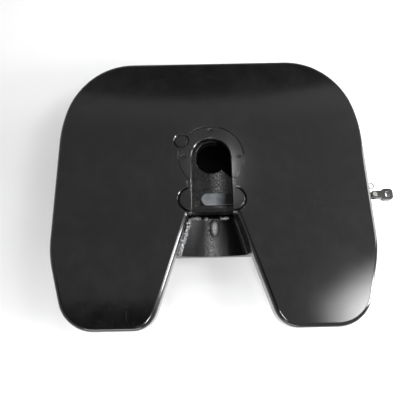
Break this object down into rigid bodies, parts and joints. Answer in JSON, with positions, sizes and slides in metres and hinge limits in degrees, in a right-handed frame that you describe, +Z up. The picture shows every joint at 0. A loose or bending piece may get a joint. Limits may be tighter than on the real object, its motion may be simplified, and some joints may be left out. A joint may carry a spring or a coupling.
{
  "type": "fifth wheel hitch",
  "caption": "Truck fifth wheel coupling: tilting plate with V throat and kingpin slot, hook jaw, sliding lock bar with pull handle, on pedestals.",
  "frame": {"origin": "on the kingpin's axis, in the plane that the pedestals' feet stand on", "axes": "+Z up along the kingpin, +Y forwards on the vehicle, +X to the vehicle's right, where the release handle is"},
  "size_m": [0.9836, 0.807, 0.25],
  "materials": {
    "gloss_black": "gloss",
    "pedestal_paint": "satin",
    "handle_paint": "satin",
    "insert_black": "satin",
    "jaw_casting": "satin",
    "bright_steel": "machined",
    "zinc_steel": "zinc plated",
    "spring_steel": "satin",
    "bronze": "machined",
    "rubber": "matt"
  },
  "bodies": {
    "pedestals": {"bush_sleeve_left": "zinc_steel", "bush_sleeve_right": "zinc_steel", "pedestal_left": "pedestal_paint", "pedestal_right": "pedestal_paint", "rubber_bush_left": "rubber", "rubber_bush_right": "rubber"},
    "plate": {"bracket_pin_left": "zinc_steel", "bracket_pin_right": "zinc_steel", "eye_bolt": "zinc_steel", "grease_nipple": "zinc_steel", "guide_bolts": "zinc_steel", "jaw_bracket": "gloss_black", "jaw_pivot_pin": "insert_black", "jaw_spring": "spring_steel", "keeper_bolts_left": "zinc_steel", "keeper_bolts_right": "zinc_steel", "kingpin_guard": "gloss_black", "lock_bar_guide": "gloss_black", "pin_keeper_left": "gloss_black", "pin_keeper_right": "gloss_black", "pivot_nut": "zinc_steel", "return_spring": "spring_steel", "rib_bolts": "zinc_steel", "rib_nuts": "zinc_steel", "ring_screws": "insert_black", "rod_bush": "bronze", "spring_anchor": "zinc_steel", "throat_liner_left": "insert_black", "throat_liner_right": "insert_black", "throat_ramp": "gloss_black", "top_plate": "gloss_black", "wear_ring": "insert_black"},
    "jaw": {"lock_jaw": "jaw_casting", "jaw_bush": "bronze", "spring_post": "zinc_steel"},
    "bar": {"lock_bar": "bright_steel", "draw_rod": "zinc_steel", "rod_lock_nut": "zinc_steel", "spring_collar": "zinc_steel", "clevis_pin": "zinc_steel", "split_pin": "zinc_steel"},
    "handle": {"release_handle": "handle_paint"}
  },
  "joints": [
    {"name": "plate_tilt", "type": "hinge", "parent": "pedestals", "child": "plate", "pos_m": [0, 0, 0.16], "axis": [1, 0, 0], "range_deg": [-15, 15]},
    {"name": "bar_slide", "type": "slide", "parent": "plate", "child": "bar", "axis": [1, 0, 0], "range_m": [0, 0.11], "stiffness_N_per_m": 1500, "springref_m": -0.05, "deforming": ["return_spring"]},
    {"name": "jaw_swing", "type": "hinge", "parent": "plate", "child": "jaw", "pos_m": [-0.086, 0.052, 0.21], "axis": [0, 0, 1], "range_deg": [-55, 0], "deforming": ["jaw_spring"]},
    {"name": "handle_swing", "type": "hinge", "parent": "bar", "child": "handle", "pos_m": [0.474, -0.118, 0.214], "axis": [0, 0, 1], "range_deg": [-25, 25]}
  ],
  "couplings": [
    {"joint": "jaw_swing", "follows": "bar_slide", "rad_per_m": -8.7266}
  ]
}
